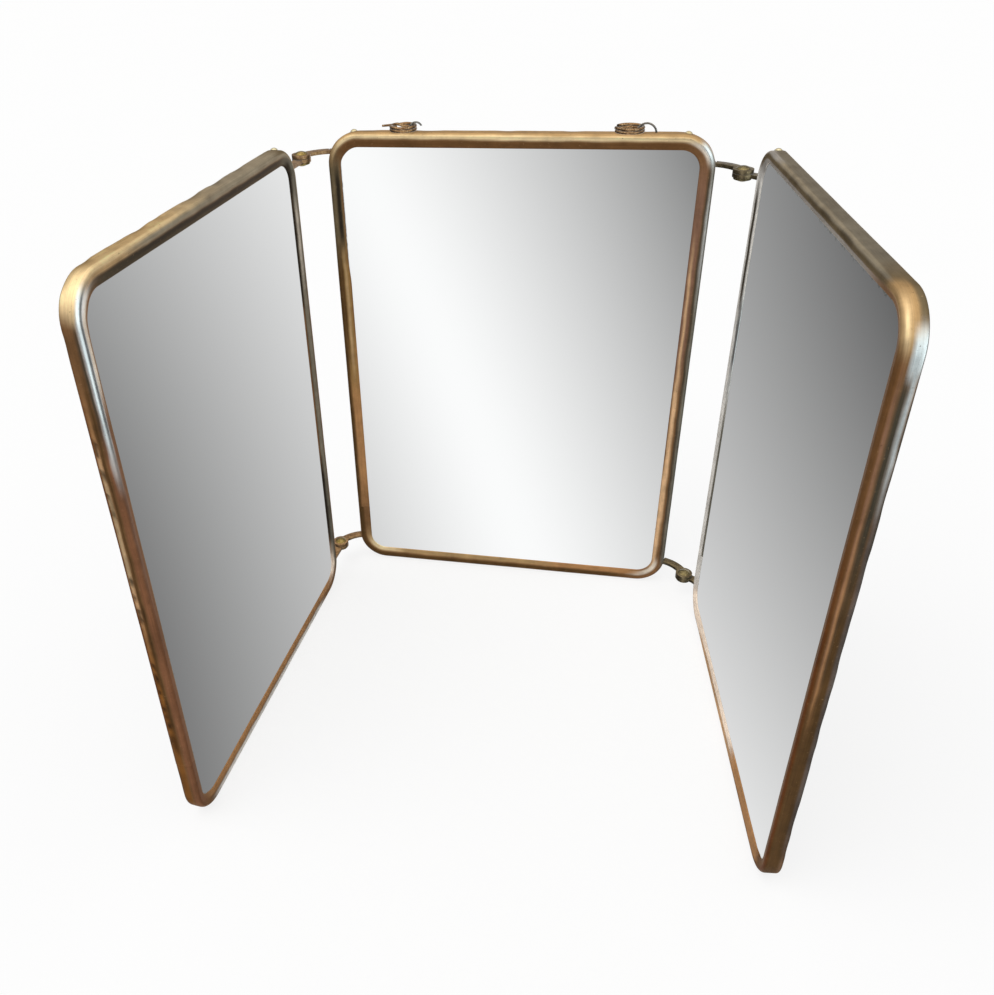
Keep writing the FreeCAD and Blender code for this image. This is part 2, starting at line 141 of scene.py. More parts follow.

# Where the colour is not plain patina, laid on in order: the tone, its start and end along the
# channel from the seam, its start and end round the skin from the lip's edge, and the length
# over which it fades along the channel, in millimetres. Besides wear, the patches paint in
# highlights and reflections on the shoulders and corners, and painted shade in the darkest
# lines and bands. From the seam the channel runs up the left side, along the top from 223
# to 372, down the right side from 396 to 615, along the bottom from 640 to 788 and back up to
# the seam at 833. Round the skin the lip ends at about 4, the shoulder at 8 and the outer
# wall at 12.
marks_and_painted_light = {
    "centre": (
        # Left side
        ("amber", 8, 110, -1.0, 4.0, 40), ("golden", 80, 172, 0.2, 4.4, 30),
        # The umber along the shoulder here is painted shade
        ("umber", -20, 205, 4.4, 7.0, 12), ("straw", 92, 154, 1.5, 2.7, 30),
        ("umber", 96, 200, 3.2, 4.6, 40), ("drab", 156, 204, 0.4, 8.0, 24),
        # A near-black line of painted shade along the lip's edge
        ("lip_edge_shade", 158, 196, 1.0, 3.4, 20),
        # Top
        ("walnut", 206, 376, -1.0, 3.0, 16), ("brass", 202, 384, 4.2, 15.0, 12),
        ("gold", 206, 304, 4.1, 6.0, 12), ("gold", 284, 384, 3.6, 5.6, 30),
        ("cream", 374, 396, 3.2, 5.0, 10), ("nickel", 380, 398, 4.6, 8.6, 9),
        # Right side
        ("plum", 400, 500, -1.0, 3.6, 30), ("slate", 398, 612, 3.8, 5.0, 14),
        ("pewter", 396, 616, 5.0, 15.0, 14), ("steel", 404, 450, 5.0, 6.4, 30),
        ("copper", 436, 612, 0.9, 1.9, 40), ("copper", 500, 592, 0.6, 2.6, 40),
        ("copper", 556, 618, -1.0, 1.4, 30),
        # Bottom
        ("cream", 614, 642, 1.0, 3.2, 12), ("amber", 636, 704, -1.0, 2.6, 20),
        ("brass", 690, 816, -1.0, 2.4, 24), ("gold", 782, 808, -1.0, 2.0, 14),
        ("umber", 646, 860, 3.2, 6.0, 20),
    ),
    "left": (
        # Left side
        ("russet", -20, 196, 1.6, 8.2, 40), ("plum", 90, 196, 3.0, 5.6, 60),
        ("rust", -20, 84, 9.2, 12.0, 24), ("umber", 16, 184, 8.8, 10.2, 24),
        ("amber", 68, 168, 10.4, 11.8, 30), ("copper", 82, 156, 10.6, 11.7, 20),
        ("gold", 96, 142, 10.9, 11.5, 20), ("burnt", 16, 172, 12.0, 18.0, 30),
        ("slate", 160, 200, 7.2, 8.4, 30), ("drab", 182, 204, 2.2, 5.0, 12),
        ("cream", 172, 214, 1.4, 4.6, 24), ("nickel", 150, 210, 4.5, 7.0, 40),
        ("nickel", 200, 214, 2.4, 7.3, 10),
        # Top
        ("gold", 201, 340, 7.2, 15.0, 10), ("straw", 214, 262, 3.4, 5.8, 18),
        ("gold", 214, 300, 5.2, 9.6, 16), ("olive", 290, 430, 4.4, 15.0, 60),
        ("slate", 216, 400, -1.0, 3.2, 20), ("olive", 246, 400, 3.6, 5.8, 24),
        # The near-black lines along the lip's edge here and below are painted shade
        ("lip_edge_shade", 240, 374, 1.2, 3.2, 40), ("drab", 366, 396, 5.4, 15.0, 12),
        # Right side
        ("pewter", 376, 626, 0.6, 4.4, 16), ("lip_edge_shade", 382, 402, -1.0, 2.6, 10),
        ("olive", 402, 560, 1.2, 3.8, 40), ("lip_edge_shade", 400, 456, -1.0, 0.9, 24),
        ("cream", 404, 440, 1.6, 3.4, 20), ("lip_edge_shade", 548, 602, -1.0, 1.6, 24),
        # Bottom, then up to the seam
        # The blush at the corner and the chalk along the bottom are painted highlights
        ("blush", 608, 636, -1.0, 2.6, 14), ("amber", 636, 800, -1.0, 2.4, 16),
        ("chalk", 650, 792, 3.2, 6.6, 16), ("russet", 804, 860, 1.6, 8.2, 16),
        ("rust", 804, 860, 9.2, 12.0, 16),
    ),
    "right": (
        # Left side
        # The chalk and the nickel on the lip here are painted highlights and reflections
        ("chalk", -20, 212, -1.0, 7.0, 20), ("pewter", -20, 92, -1.0, 0.9, 30),
        ("nickel", 104, 146, -1.0, 2.0, 30), ("slate", 142, 196, 1.0, 3.2, 24),
        # Top
        ("steel", 206, 356, -1.0, 3.4, 20), ("drab", 206, 366, 3.2, 6.0, 20),
        ("drab", 250, 376, 4.4, 5.8, 30), ("pewter", 206, 372, 5.8, 15.0, 20),
        ("olive", 222, 362, 6.0, 7.6, 24), ("steel", 206, 236, 6.0, 8.4, 16),
        ("drab", 358, 390, 7.0, 15.0, 14), ("brass", 368, 393, 3.4, 10.6, 10),
        ("straw", 377, 394, 5.4, 8.8, 8), ("gold", 382, 393, 6.6, 7.8, 8),
        # Right side
        ("walnut", 394, 644, -1.0, 7.4, 10), ("burnt", 470, 640, 4.6, 6.4, 80),
        ("plum", 404, 520, 7.3, 8.1, 40), ("amber", 450, 560, 7.6, 8.0, 80),
        ("slate", 400, 520, 8.6, 10.8, 20), ("umber", 470, 644, 8.8, 11.4, 60),
        ("mauve", 426, 610, 11.2, 15.0, 60), ("umber", 530, 644, 6.6, 9.0, 60),
        ("nickel", 389, 401, 9.4, 13.6, 8), ("nickel", 394, 436, 10.9, 11.9, 24),
        ("slate", 402, 460, 12.4, 15.0, 20),
        # Bottom, then up to the seam
        # The blush and chalk along the bottom are painted highlights
        ("amber", 632, 690, -1.0, 4.4, 16), ("blush", 690, 812, -1.0, 2.8, 20),
        ("blush", 762, 812, 2.0, 4.6, 20), ("copper", 690, 772, 2.8, 6.0, 20),
        ("chalk", 812, 860, -1.0, 7.0, 16),
    ),
}

# How softly a stain or painted highlight ends round the skin, in millimetres
fade_round = 1.3

# How far the stains and painted highlights wander off their places, and the size of one
# wandering: along, then round
wander = ((7.0, 14.0 * mm), (0.35, 9.0 * mm))

# Each panel's dents and wear are taken from another part of the same noise
noise_shift = Vector((7.3, 3.1, 5.7))
wear_shift = 100


def linear(hex_colour):
    """An sRGB hex colour as linear red, green, blue and alpha."""
    channels = [int(hex_colour[i:i + 2], 16) / 255 for i in (1, 3, 5)]
    return tuple(c / 12.92 if c <= 0.04045 else ((c + 0.055) / 1.055) ** 2.4
                 for c in channels) + (1.0,)


def add(tree, kind, links=None, **settings):
    """Add a shader node with its settings; a link is a fixed value or another node's output."""
    node = tree.nodes.new("ShaderNode" + kind)
    for name, value in settings.items():
        setattr(node, name, value)
    for socket, value in (links or {}).items():
        if isinstance(value, bpy.types.NodeSocket):
            tree.links.new(value, node.inputs[socket])
        else:
            node.inputs[socket].default_value = value
    return node


def new_material(name):
    """A material with an empty node tree."""
    material = bpy.data.materials.new(name)
    material.use_nodes = True
    material.node_tree.nodes.clear()
    return material, material.node_tree


def panel_place(name):
    """Where a panel drawn in the centre panel's place really stands, found from its glass."""
    middles = []
    for glass in ("centre_mirror_glass", name + "_mirror_glass"):
        low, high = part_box(glass)
        middles.append((low + high) / 2)
    turn = Matrix.Rotation(math.radians(folds[name]), 4, "Z")
    return Matrix.Translation(middles[1]) @ turn @ Matrix.Translation(-middles[0])


def arc(centre, radius, first, last, steps):
    """Points on an arc in a flat drawing, from one angle to another in degrees."""
    turns = [math.radians(first + (last - first) * i / steps) for i in range(steps + 1)]
    return [(centre[0] + radius * math.cos(t), centre[1] + radius * math.sin(t)) for t in turns]


def run(start, end, steps):
    """Points on a straight run after its first point."""
    return [tuple(a + (b - a) * i / steps for a, b in zip(start, end)) for i in range(1, steps + 1)]


def channel_skin(inset):
    """The channel's outer face, or its inner face one sheet in, from lip to flange."""
    shoulder = (shoulder_radius, shoulder_radius - half_depth)
    back_edge = (back_edge_radius, half_depth - back_edge_radius)
    slope = math.radians(lip_angle)
    reach = (lip_width - shoulder_radius * (1 + math.sin(slope))) / math.cos(slope) - sheet / 2
    rounding = arc(shoulder, shoulder_radius - inset, lip_angle - 90, -180, shoulder_steps)
    tip = (rounding[0][0] + reach * math.cos(slope), rounding[0][1] + reach * math.sin(slope))
    rear = arc(back_edge, back_edge_radius - inset, 180, 90, back_edge_steps)
    flange_end = (back_flange - sheet / 2, half_depth - inset)
    return ([tip] + run(tip, rounding[0], lip_steps) + rounding[1:]
            + run(rounding[-1], rear[0], wall_steps) + rear[1:]
            + run(rear[-1], flange_end, flange_steps))


def channel_section():
    """The section as a closed loop: inward, depth, distance round the skin, and the way in."""
    outer = channel_skin(0.0)
    inner = channel_skin(sheet)
    rounds = [0.0]
    for start, end in zip(outer, outer[1:]):
        rounds.append(rounds[-1] + math.dist(start, end))
    ways = [((b[0] - a[0]) / sheet, (b[1] - a[1]) / sheet) for a, b in zip(outer, inner)]
    sides = [list(zip(skin, rounds, ways)) for skin in (outer, inner)]
    ends = []
    for index, first in ((-1, 90), (0, lip_angle + 90)):
        middle = [(a + b) / 2 for a, b in zip(outer[index], inner[index])]
        tip = arc(middle, sheet / 2, first, first - 180, cut_edge_steps)[1:-1]
        ends.append([(point, rounds[index], ways[index]) for point in tip])
    return sides[0] + ends[0] + sides[1][::-1] + ends[1]


def channel_stations():
    """Places along the channel from its seam: the outer point, the way in and the distance."""
    half = half_width - corner_radius
    top = panel_height - corner_radius
    route = [(-half_width, seam_height + seam_width)]
    for x, z, first in ((-half, top, 180), (half, top, 90), (half, corner_radius, 0),
                        (-half, corner_radius, -90)):
        bend = arc((x, z), corner_radius, first, first - 90, corner_steps)
        route += run(route[-1], bend[0], round(math.dist(route[-1], bend[0]) / station_step))
        route += bend[1:]
    seam = (-half_width, seam_height)
    route += run(route[-1], seam, round(math.dist(route[-1], seam) / station_step))
    stations = []
    along = 0.0
    for index, (x, z) in enumerate(route):
        along += math.dist((x, z), route[index - 1]) if index else 0.0
        foot = (max(-half, min(half, x)), max(corner_radius, min(top, z)))
        way = ((foot[0] - x) / corner_radius, (foot[1] - z) / corner_radius)
        stations.append(((x, z), way, along))
    return stations


def window(value, low, high, fade):
    """1 between low and high, fading smoothly to 0 over a distance about each."""
    share = min((value - low) / fade, (high - value) / fade) + 0.5
    share = max(0.0, min(1.0, share))
    return share * share * (3 - 2 * share)


def knock(name, spot, along, round_mm, seed):
    """How far the skin is pressed in at a place on a panel, and its dirt and painted shade, from 0
    to 1.
    """
    press = wave_depth * max(0.0, 0.5 + 0.5 * noise.noise(spot / wave_length + seed))
    soiling_and_shade = 0.0
    for start, end, centre, spread, length, depth, knock_soiling_and_shade in knocks[name]:
        share = window(along, start, end, 2 * length)
        if share:
            share *= math.exp(-((round_mm - centre) / spread) ** 2)
            patch = least_knock + patchiness * noise.noise(spot / (length * mm) + seed)
            share *= max(0.0, min(1.0, patch))
            press += depth * mm * share
            soiling_and_shade = max(soiling_and_shade, knock_soiling_and_shade * min(1.0, soiling_rise * share))
    return press, soiling_and_shade


def skin_tone_and_painted_light(name, along, round_mm):
    """Colour, bare metal and roughness at a place on a panel's skin, with its stains, painted
    highlights and painted shade laid on.
    """
    colour, bare, rough = tones["patina"]
    tone_and_painted_light = [*linear(colour)[:3], bare, rough]
    for tone, start, end, near, far, fade in marks_and_painted_light[name]:
        share = window(along, start, end, fade)
        if share:
            share *= window(round_mm, near, far, fade_round)
            colour, bare, rough = tones[tone]
            laid_on = (*linear(colour)[:3], bare, rough)
            tone_and_painted_light = [under + (over - under) * share for under, over in zip(tone_and_painted_light, laid_on)]
    return tone_and_painted_light


def channel_mesh(name, seed):
    """The bent channel as a mesh, with its colours, painted highlights and shade among them, and
    its places along the skin on its points.
    """
    section = channel_section()
    stations = channel_stations()
    lip_start = shoulder_radius * (1 + math.sin(math.radians(lip_angle)))
    places = []
    colours = []
    bare_metal = []
    roughness = []
    skin_places = []
    for (x, z), way, along in stations:
        for (inward, depth), round_skin, (way_in, way_back) in section:
            round_mm = round_skin / mm
            spot = Vector((x + way[0] * inward, depth, z + way[1] * inward))
            press, soiling_and_shade = knock(name, spot, along / mm, round_mm, seed)
            trim, spans = lip_trims[name]
            trimmed = max(window(along / mm, start, end, trim_fade) for start, end in spans)
            pull = max(0.0, inward - lip_start) / (lip_width - lip_start) * trim * mm * trimmed
            inward += way_in * press - pull
            back = depth + way_back * press - pull * math.tan(math.radians(lip_angle))
            places.append((x + way[0] * inward, back, z + way[1] * inward))
            drift = [reach * noise.noise(spot / scale + seed) for reach, scale in wander]
            tone_and_painted_light = skin_tone_and_painted_light(name, along / mm + drift[0], round_mm + drift[1])
            # Deeper knocks darken the colour, as dirt and as painted shade in the dent
            colours += [value * (1 - soiling_and_shade) for value in tone_and_painted_light[:3]] + [1.0]
            bare_metal.append(tone_and_painted_light[3])
            roughness.append(tone_and_painted_light[4])
            skin_places += [along / mm, round_mm, seed.x * wear_shift]
    size = len(section)
    faces = [(i * size + j, i * size + (j + 1) % size, (i + 1) * size + (j + 1) % size,
              (i + 1) * size + j)
             for i in range(len(stations) - 1) for j in range(size)]
    last = (len(stations) - 1) * size
    faces += [tuple(range(size - 1, -1, -1)), tuple(range(last, last + size))]
    mesh = bpy.data.meshes.new(name + "_channel")
    mesh.from_pydata(places, [], faces)
    for attribute, kind, field, values in (("tone_and_painted_light", "FLOAT_COLOR", "color", colours),
                                           ("bare_metal", "FLOAT", "value", bare_metal),
                                           ("roughness", "FLOAT", "value", roughness),
                                           ("skin_mm", "FLOAT_VECTOR", "vector", skin_places)):
        mesh.attributes.new(attribute, kind, "POINT").data.foreach_set(field, values)
    shell = bmesh.new()
    shell.from_mesh(mesh)
    bmesh.ops.recalc_face_normals(shell, faces=shell.faces)
    shell.to_mesh(mesh)
    shell.free()
    mesh.shade_smooth()
    mesh.set_sharp_from_angle(angle=math.radians(crease_angle))
    return mesh


# The sizes of the wear's patterns on the skin, in millimetres. Rubbing is drawn out along the
# channel, and the pits are drawn several times as coarse as real ones, so that they show.
streak_length = 16.0
streak_width = 0.5
mottle_size = 5.0
blotch_size = 14.0
pit_size = 1.1
pit_depth = 0.05 * mm
mottle_rough = 0.12


def worn_nickel_brass():
    """Rolled brass with worn nickel plate: a brown film where the air has got at it, warm gold
    where hands have rubbed it and cool white plate where it still holds, drawn out lengthwise.
    Its colour also carries painted highlights, reflections and shade."""
    material, tree = new_material("worn_nickel_brass")
    place = add(tree, "Attribute", attribute_name="skin_mm").outputs["Vector"]
    drawn = add(tree, "Mapping", {"Vector": place,
                                  "Scale": (1 / streak_length, 1 / streak_width, 1.0)})
    streaks = add(tree, "TexNoise", {"Vector": drawn.outputs["Vector"], "Scale": 1.0, "Detail": 4.0,
                                     "Roughness": 0.6}).outputs["Fac"]
    mottle = add(tree, "TexNoise", {"Vector": place, "Scale": 1 / mottle_size, "Detail": 6.0,
                                    "Roughness": 0.65}).outputs["Fac"]
    pits = add(tree, "TexNoise", {"Vector": place, "Scale": 1 / pit_size, "Detail": 3.0,
                                  "Roughness": 0.7}).outputs["Fac"]
    blotches = add(tree, "TexNoise", {"Vector": place, "Scale": 1 / blotch_size,
                                      "Detail": 2.0}).outputs["Fac"]
    mixed = add(tree, "Math", {0: mottle, 1: blotches}, operation="ADD").outputs[0]
    mixed = add(tree, "Math", {0: streaks, 1: mixed}, operation="ADD").outputs[0]
    # The streaks, mottle and blotches together take each tone up to a third darker or lighter
    shade = add(tree, "MapRange", {"Value": mixed, "From Min": 1.05, "From Max": 1.95,
                                   "To Min": 0.68, "To Max": 1.32}).outputs["Result"]
    # The skin's colour, with its stains and its painted highlights, reflections and shade
    tone_and_painted_light = add(tree, "Attribute", attribute_name="tone_and_painted_light").outputs["Color"]
    colour = add(tree, "VectorMath", {0: tone_and_painted_light, "Scale": shade}, operation="SCALE").outputs[0]
    # The highest grains are rubbed to bare brass, and the lowest are brown pits
    rubbed = add(tree, "MapRange", {"Value": pits, "From Min": 0.63, "From Max": 0.78,
                                    "To Max": 0.4}).outputs["Result"]
    colour = add(tree, "MixRGB", {"Fac": rubbed, "Color1": colour,
                                  "Color2": linear("#D0A878")}).outputs["Color"]
    pitted = add(tree, "MapRange", {"Value": pits, "From Min": 0.35, "From Max": 0.27,
                                    "To Max": 0.6}).outputs["Result"]
    colour = add(tree, "MixRGB", {"Fac": pitted, "Color1": colour,
                                  "Color2": linear("#4A3018")}).outputs["Color"]
    bare = add(tree, "Attribute", attribute_name="bare_metal").outputs["Fac"]
    rough = add(tree, "Attribute", attribute_name="roughness").outputs["Fac"]
    rough = add(tree, "Math", {0: mottle, 1: mottle_rough, 2: rough},
                operation="MULTIPLY_ADD").outputs[0]
    height = add(tree, "Math", {0: pits, 1: streaks}, operation="ADD").outputs[0]
    bump = add(tree, "Bump", {"Strength": 0.25, "Distance": pit_depth, "Height": height})
    skin = add(tree, "BsdfPrincipled", {"Base Color": colour, "Metallic": bare, "Roughness": rough,
                                        "Specular Tint": linear("#D8B898"),
                                        "Normal": bump.outputs["Normal"]}).outputs["BSDF"]
    add(tree, "OutputMaterial", {"Surface": skin})
    return material


def place_piece(name, mesh, material, body, slot, *nodes):
    """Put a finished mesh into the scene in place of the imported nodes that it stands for."""
    piece = bpy.data.objects.new(name, mesh)
    bpy.context.scene.collection.objects.link(piece)
    mesh.materials.clear()
    mesh.materials.append(material)
    # Mirrors and metal show the studio's light, and not the pieces beside them
    piece.visible_glossy = False
    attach(piece, body)
    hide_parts(*nodes)


frame_metal = worn_nickel_brass()
for index, (name, body) in enumerate(bodies.items()):
    channel = channel_mesh(name, noise_shift * (index + 1))
    channel.transform(panel_place(name))
    place_piece(name + "_channel", channel, frame_metal, body, "worn_nickel_brass", name + "_frame")

# ---------------------------------------------------------------- Mirror glass
# Plain 2 mm plate glass, silvered on the back, lying under the frame's lip. It is a clean
# mirror, a little darkened along the lip: damp has crept under it and got at the silver, and the
# lip's shade and reflection are painted in there.

# The dark line along the lip, damp together with painted shade and reflection, in millimetres:
# how coarse and how ragged it is, and where it starts and is at its darkest, counted outward
# from the lip's edge
wobble_size = 2.5
dark_edge_wobble = 0.5
dark_edge_start = -0.1
dark_edge_full = 0.5

# Pale flecks where the silver has lifted: their size in millimetres, how much commoner they get
# with each millimetre outward, how much noise makes one on each panel, and how soft its edge is
fleck_size = 1.6
fleck_reach = 0.12
fleck_starts = {"centre": 0.7, "left": 0.7, "right": 0.68}
fleck_soft = 0.04


def silvered_glass(name):
    """Silvered plate glass: a clear cool reflection, with a ragged brown-grey line along the lip,
    of damp and of the lip's painted shade and reflection, and a few pale flecks along the lip."""
    material, tree = new_material(name + "_silvered_glass")
    place = add(tree, "TexCoord").outputs["Object"]
    back = panel_place(name).inverted()
    upright = add(tree, "Mapping", {"Vector": place, "Location": back.to_translation() / mm,
                                    "Rotation": back.to_euler(),
                                    "Scale": (1 / mm,) * 3}).outputs["Vector"]
    middle = Vector((0, 0, panel_height / 2 / mm))
    reach = Vector((half_width - corner_radius, 1, panel_height / 2 - corner_radius)) / mm
    # How far each place lies beyond the middles of the rounded corners: round a corner this is
    # the distance from its middle, and along a side the distance past the straight between them
    from_middle = add(tree, "VectorMath", {0: upright, 1: middle}, operation="SUBTRACT").outputs[0]
    folded = add(tree, "VectorMath", {0: from_middle}, operation="ABSOLUTE").outputs[0]
    beyond = add(tree, "VectorMath", {0: folded, 1: reach}, operation="SUBTRACT").outputs[0]
    beyond = add(tree, "VectorMath", {0: beyond, 1: Vector((0, 0, 0))},
                 operation="MAXIMUM").outputs[0]
    out = add(tree, "VectorMath", {0: beyond}, operation="LENGTH").outputs["Value"]
    wobble = add(tree, "TexNoise", {"Vector": upright, "Scale": 1 / wobble_size,
                                   "Detail": 5.0}).outputs["Fac"]
    edge = (corner_radius - lip_width) / mm
    lip_line = edge + lip_trims[name][0]
    spread = add(tree, "Math", {0: wobble, 1: dark_edge_wobble, 2: out},
                 operation="MULTIPLY_ADD").outputs[0]
    # Painted shade and reflection of the lip, with the damp: the glass darkens just inside the lip
    dark_edge = add(tree, "MapRange", {"Value": spread, "From Min": lip_line + dark_edge_start,
                                  "From Max": lip_line + dark_edge_full},
               interpolation_type="SMOOTHSTEP").outputs["Result"]
    colour = add(tree, "MixRGB", {"Fac": dark_edge, "Color1": linear("#F9FAFA"),
                                  "Color2": linear("#5E564C")}).outputs["Color"]
    flecks = add(tree, "TexNoise", {"Vector": upright, "Scale": 1 / fleck_size,
                                    "Detail": 3.0}).outputs["Fac"]
    lifted = add(tree, "Math", {0: out, 1: fleck_reach, 2: flecks},
                 operation="MULTIPLY_ADD").outputs[0]
    fleck_start = fleck_starts[name] + edge * fleck_reach
    lifted = add(tree, "MapRange", {"Value": lifted, "From Min": fleck_start,
                                    "From Max": fleck_start + fleck_soft}).outputs["Result"]
    colour = add(tree, "MixRGB", {"Fac": lifted, "Color1": colour,
                                  "Color2": linear("#D2D4CC")}).outputs["Color"]
    rough = add(tree, "MapRange", {"Value": dark_edge, "To Min": 0.02, "To Max": 0.25}).outputs["Result"]
    skin = add(tree, "BsdfPrincipled", {"Base Color": colour, "Metallic": 1.0,
                                        "Roughness": rough}).outputs["BSDF"]
    add(tree, "OutputMaterial", {"Surface": skin})
    return material


for name in bodies:
    glass = frame["nodes"][name + "_mirror_glass"]
    glass.data.materials[0] = silvered_glass(name)
    glass.visible_glossy = False

# ---------------------------------------------------------------- Packing and back plates
# A sheet of pasteboard presses the glass against the lip, and a thin tinplate back, japanned
# dark brown and rubbed dull, is held by the frame's rear flange.

# The board's fibres, then the lacquer's cloudy ageing, scuffs and brush grain. The scratches run
# four ways, in degrees, and are drawn wider than real hairlines, so that they show.
fibre_size = 1.5 * mm
cloud_size = 45 * mm
cloud_weight = 0.8
scuff_size = 9 * mm
lacquer_grain = 0.8 * mm
scratch_length = 40 * mm
scratch_width = 0.7 * mm
scratch_turns = (28, -47, 81, 136)


def pasteboard():
    """Grey-brown pasteboard: matt and fibrous."""
    material, tree = new_material("pasteboard")
    place = add(tree, "TexCoord").outputs["Object"]
    fibres = add(tree, "TexNoise", {"Vector": place, "Scale": 1 / fibre_size,
                                    "Detail": 6.0}).outputs["Fac"]
    colour = add(tree, "MixRGB", {"Fac": fibres, "Color1": linear("#5E4E3A"),
                                  "Color2": linear("#8A7558")}).outputs["Color"]
    bump = add(tree, "Bump", {"Strength": 0.4, "Distance": 0.1 * mm,
                              "Height": fibres}).outputs["Normal"]
    skin = add(tree, "BsdfPrincipled", {"Base Color": colour, "Roughness": 0.9,
                                        "Normal": bump}).outputs["BSDF"]
    add(tree, "OutputMaterial", {"Surface": skin})
    return material


def japanned_tinplate():
    """Baked brown-black lacquer on tinplate: a soft sheen, scratched, and rubbed grey in places."""
    material, tree = new_material("japanned_tinplate")
    place = add(tree, "TexCoord").outputs["Object"]
    clouds = add(tree, "TexNoise", {"Vector": place, "Scale": 1 / cloud_size, "Detail": 6.0,
                                    "Roughness": 0.65}).outputs["Fac"]
    scuffs = add(tree, "TexNoise", {"Vector": place, "Scale": 1 / scuff_size, "Detail": 8.0,
                                    "Roughness": 0.75}).outputs["Fac"]
    grain = add(tree, "TexNoise", {"Vector": place, "Scale": 1 / lacquer_grain,
                                   "Detail": 3.0}).outputs["Fac"]
    aged = add(tree, "MapRange", {"Value": clouds, "From Min": 0.36,
                                  "From Max": 0.66}).outputs["Result"]
    colour = add(tree, "MixRGB", {"Fac": aged, "Color1": linear("#1A130E"),
                                  "Color2": linear("#4A392B")}).outputs["Color"]
    both = add(tree, "Math", {0: clouds, 1: cloud_weight, 2: scuffs},
               operation="MULTIPLY_ADD").outputs[0]
    worn = add(tree, "MapRange", {"Value": both, "From Min": 1.0, "From Max": 1.14,
                                  "To Max": 0.5}).outputs["Result"]
    colour = add(tree, "MixRGB", {"Fac": worn, "Color1": colour,
                                  "Color2": linear("#7C7266")}).outputs["Color"]
    scratched = worn
    for turn in scratch_turns:
        turned = add(tree, "Mapping", {"Vector": place,
                                       "Rotation": (math.radians(turn),) * 2 + (0,)})
        drawn = add(tree, "Mapping", {"Vector": turned.outputs["Vector"],
                                      "Scale": (1 / scratch_length, 1 / scratch_length,
                                                1 / scratch_width)})
        hairs = add(tree, "TexNoise", {"Vector": drawn.outputs["Vector"], "Scale": 1.0,
                                       "Detail": 1.0}).outputs["Fac"]
        hair = add(tree, "MapRange", {"Value": hairs, "From Min": 0.76, "From Max": 0.82,
                                      "To Max": 0.6}).outputs["Result"]
        colour = add(tree, "MixRGB", {"Fac": hair, "Color1": colour,
                                      "Color2": linear("#857B6E")}).outputs["Color"]
        scratched = add(tree, "Math", {0: scratched, 1: hair}, operation="MAXIMUM").outputs[0]
    rough = add(tree, "MapRange", {"Value": scratched, "To Min": 0.36,
                                   "To Max": 0.6}).outputs["Result"]
    dent = add(tree, "Math", {0: scratched, 1: -1.0, 2: grain}, operation="MULTIPLY_ADD").outputs[0]
    bump = add(tree, "Bump", {"Strength": 0.2, "Distance": 0.05 * mm,
                              "Height": dent}).outputs["Normal"]
    skin = add(tree, "BsdfPrincipled", {"Base Color": colour, "Roughness": rough, "IOR": 1.5,
                                        "Normal": bump}).outputs["BSDF"]
    add(tree, "OutputMaterial", {"Surface": skin})
    return material


board = pasteboard()
lacquer = japanned_tinplate()
for name in bodies:
    for part, material in (("_packing_sheet", board), ("_back_plate", lacquer)):
        node = frame["nodes"][name + part]
        node.data.materials[0] = material
        node.visible_glossy = False

# ---------------------------------------------------------------- Hinge straps, rivets and washers
# Flat brass strip, sheared, bent round inside the frame's corner and led out to a round eye;
# set brass rivets through the eyes and through the frame's wall. All gone brown-green.

# How the small pieces are worn and shaded: how far the painted shade in a corner reaches, how
# much of each edge is gone and in how many steps it is drawn, and from which angle a fold counts
# as an edge
painted_shade_reach = 2.2 * mm
painted_shade_samples = 8
edge_softness = 0.22 * mm
edge_steps = 3
edge_angle = 40
kept_crease = 45
flat_angle = 1
weld_distance = 0.001 * mm

# Patches of tarnish, and the grain of the rubbed brass, drawn coarse enough to show
tarnish_size = 4 * mm
brass_grain = 0.5 * mm
grain_depth = 0.05 * mm


def softened(node, softness):
    """A copy of a CAD piece's mesh with its sharp edges worn round."""
    shell = bmesh.new()
    shell.from_mesh(frame["nodes"][node].data)
    bmesh.ops.remove_doubles(shell, verts=shell.verts, dist=weld_distance)
    bmesh.ops.dissolve_limit(shell, angle_limit=math.radians(flat_angle), verts=shell.verts,
                             edges=shell.edges)
    sharp = [edge for edge in shell.edges if edge.calc_face_angle(0.0) > math.radians(edge_angle)]
    bmesh.ops.bevel(shell, geom=sharp, offset=softness, segments=edge_steps, profile=0.5,
                    affect="EDGES", clamp_overlap=True)
    mesh = bpy.data.meshes.new(node + "_worn")
    shell.to_mesh(mesh)
    shell.free()
    mesh.shade_smooth()
    mesh.set_sharp_from_angle(angle=math.radians(kept_crease))
    return mesh


